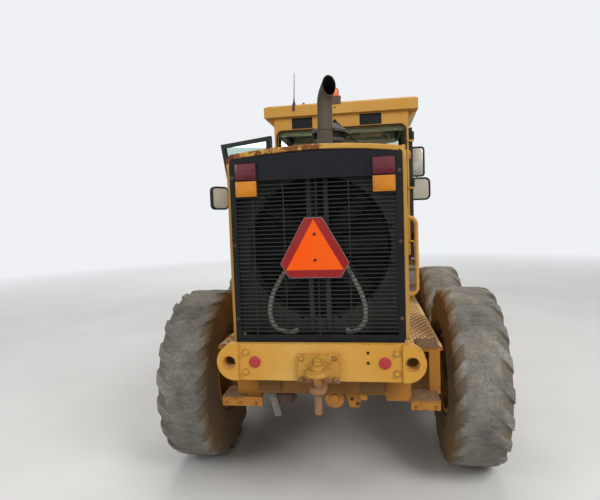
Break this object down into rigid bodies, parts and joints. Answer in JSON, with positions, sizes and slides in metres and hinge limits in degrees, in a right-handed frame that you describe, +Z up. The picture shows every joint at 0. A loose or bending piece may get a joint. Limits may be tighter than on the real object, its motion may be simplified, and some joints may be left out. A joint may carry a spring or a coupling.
{
  "type": "motor grader",
  "caption": "Articulated motor grader: tandem-drive rear frame with hood and grille, cab on the front frame, arched beam, and a moldboard on a turning circle.",
  "frame": {"origin": "on the ground, at the centre of the machine's bounding box", "axes": "+X the machine's right, +Y forward in the direction of travel, +Z up"},
  "size_m": [3.658, 8.689, 3.6694],
  "materials": {
    "yellow_paint": "sun-faded machine yellow with rust specks and dust",
    "black_paint": "satin blue-black paint",
    "black_plastic": "matt",
    "bare_steel": "worn and brown with rust",
    "rod_chrome": "polished rod",
    "blade_steel": "scoured steel with earth and faded paint",
    "red_lens": "ribbed lens, red over amber",
    "amber_lens": "clear amber",
    "sign_orange": "fluorescent orange with a dark red border",
    "core_aluminium": "dusty fins",
    "engine_iron": "oily and dark",
    "hose_rubber": "ribbed and dusty",
    "rusty_steel": "dark pipe with heat rust",
    "grey_plastic": "faded grey bowl",
    "tinted_glass": "pale blue-green tint",
    "seat_fabric": "dark woven cloth",
    "lamp_metal": "lamp housings and clear lenses",
    "tyre_rubber": "worn, dusty rubber with dried mud"
  },
  "bodies": {
    "rear_body": {"rear_frame": "yellow_paint", "rear_bumper": "yellow_paint", "tow_hitch": "bare_steel", "hood": "yellow_paint", "grille": "black_paint", "rear_lamps": "red_lens", "warning_sign": "sign_orange", "fan_shroud": "black_paint", "radiator": "core_aluminium", "engine_block": "engine_iron", "cooling_hoses": "hose_rubber", "exhaust_stack": "rusty_steel", "precleaner": "grey_plastic", "rear_axle": "yellow_paint", "rear_steps": "yellow_paint", "handrail": "yellow_paint"},
    "front_body": {"front_frame": "yellow_paint", "lift_saddle": "yellow_paint", "lift_barrels": "yellow_paint", "cab_shell": "black_paint", "cab_rear_wall": "yellow_paint", "cab_roof": "yellow_paint", "cab_glass": "tinted_glass", "seat": "seat_fabric", "console": "black_plastic", "roof_beacon": "amber_lens", "cab_ladders": "bare_steel", "headlamps": "lamp_metal", "front_axle": "yellow_paint"},
    "hood_door_left": {"engine_door_left": "yellow_paint"},
    "hood_door_right": {"engine_door_right": "yellow_paint"},
    "fan_wheel": {"fan": "black_plastic"},
    "cab_door_left": {"door_left": "black_paint", "door_left_glass": "tinted_glass"},
    "cab_door_right": {"door_right": "black_paint", "door_right_glass": "tinted_glass"},
    "steering_left": {"knuckle_left": "yellow_paint"},
    "steering_right": {"knuckle_right": "yellow_paint"},
    "drawbar_body": {"drawbar": "yellow_paint"},
    "circle_body": {"blade_circle": "bare_steel"},
    "carrier_body": {"blade_carrier": "yellow_paint"},
    "blade_body": {"moldboard": "blade_steel"},
    "lift_rod_body": {"lift_rods": "rod_chrome"},
    "wheel_front_left": {"rim_front_left": "yellow_paint", "tyre_front_left": "tyre_rubber"},
    "wheel_front_right": {"rim_front_right": "yellow_paint", "tyre_front_right": "tyre_rubber"},
    "wheel_mid_left": {"rim_mid_left": "yellow_paint", "tyre_mid_left": "tyre_rubber"},
    "wheel_mid_right": {"rim_mid_right": "yellow_paint", "tyre_mid_right": "tyre_rubber"},
    "wheel_rear_left": {"rim_rear_left": "yellow_paint", "tyre_rear_left": "tyre_rubber"},
    "wheel_rear_right": {"rim_rear_right": "yellow_paint", "tyre_rear_right": "tyre_rubber"}
  },
  "joints": [
    {"name": "articulation", "type": "hinge", "parent": "rear_body", "child": "front_body", "pos_m": [0, -0.57, 0.935], "axis": [0, 0, 1], "range_deg": [-20, 20]},
    {"name": "steer_left", "type": "hinge", "parent": "front_body", "child": "steering_left", "pos_m": [-0.8, 3.616, 0.6725], "axis": [0, 0, 1], "range_deg": [-56.5, 38.5]},
    {"name": "steer_right", "type": "hinge", "parent": "front_body", "child": "steering_right", "pos_m": [0.8, 3.616, 0.6725], "axis": [0, 0, 1], "range_deg": [-56.5, 38.5]},
    {"name": "drawbar_lift", "type": "hinge", "parent": "front_body", "child": "drawbar_body", "pos_m": [0, 3.23, 0.9], "axis": [-1, 0, 0], "range_deg": [-17, 12]},
    {"name": "lift_stroke", "type": "slide", "parent": "front_body", "child": "lift_rod_body", "axis": [0, 0, 1], "range_m": [-0.6735, 0.4754]},
    {"name": "circle_turn", "type": "hinge", "parent": "drawbar_body", "child": "circle_body", "pos_m": [0, 1.05, 0.78], "axis": [0, 0, 1], "continuous": true},
    {"name": "blade_tip", "type": "hinge", "parent": "circle_body", "child": "carrier_body", "pos_m": [0, 0.73, 0.17], "axis": [-1, 0, 0], "range_deg": [-5, 40]},
    {"name": "blade_shift", "type": "slide", "parent": "carrier_body", "child": "blade_body", "axis": [1, 0, 0], "range_m": [-0.66, 0.51]},
    {"name": "cab_door_left_hinge", "type": "hinge", "parent": "front_body", "child": "cab_door_left", "pos_m": [-0.846, -1.276, 2.2], "axis": [0, 0, 1], "range_deg": [-60, 15]},
    {"name": "cab_door_right_hinge", "type": "hinge", "parent": "front_body", "child": "cab_door_right", "pos_m": [0.846, -1.276, 2.2], "axis": [0, 0, -1], "range_deg": [0, 75]},
    {"name": "hood_door_left_hinge", "type": "hinge", "parent": "rear_body", "child": "hood_door_left", "pos_m": [-0.57, -2.81, 2.16], "axis": [0, 1, 0], "range_deg": [0, 75]},
    {"name": "hood_door_right_hinge", "type": "hinge", "parent": "rear_body", "child": "hood_door_right", "pos_m": [0.57, -2.81, 2.16], "axis": [0, -1, 0], "range_deg": [0, 75]},
    {"name": "fan_spin", "type": "hinge", "parent": "rear_body", "child": "fan_wheel", "pos_m": [0, -3.93, 1.735], "axis": [0, 1, 0], "continuous": true},
    {"name": "wheel_front_left_spin", "type": "hinge", "parent": "steering_left", "child": "wheel_front_left", "pos_m": [-1.03458, 3.57885, 0.6725], "axis": [0.9877, 0.1564, 0], "continuous": true},
    {"name": "wheel_front_right_spin", "type": "hinge", "parent": "steering_right", "child": "wheel_front_right", "pos_m": [1.03458, 3.65315, 0.6725], "axis": [0.9877, 0.1564, 0], "continuous": true},
    {"name": "wheel_mid_left_spin", "type": "hinge", "parent": "rear_body", "child": "wheel_mid_left", "pos_m": [-1.0375, -1.709, 0.6725], "axis": [1, 0, 0], "continuous": true},
    {"name": "wheel_mid_right_spin", "type": "hinge", "parent": "rear_body", "child": "wheel_mid_right", "pos_m": [1.0375, -1.709, 0.6725], "axis": [1, 0, 0], "continuous": true},
    {"name": "wheel_rear_left_spin", "type": "hinge", "parent": "rear_body", "child": "wheel_rear_left", "pos_m": [-1.0375, -3.231, 0.6725], "axis": [1, 0, 0], "continuous": true},
    {"name": "wheel_rear_right_spin", "type": "hinge", "parent": "rear_body", "child": "wheel_rear_right", "pos_m": [1.0375, -3.231, 0.6725], "axis": [1, 0, 0], "continuous": true}
  ],
  "couplings": [
    {"joint": "steer_right", "follows": "steer_left", "ratio": 1},
    {"joint": "lift_stroke", "follows": "drawbar_lift", "m_per_rad": 2.27}
  ]
}
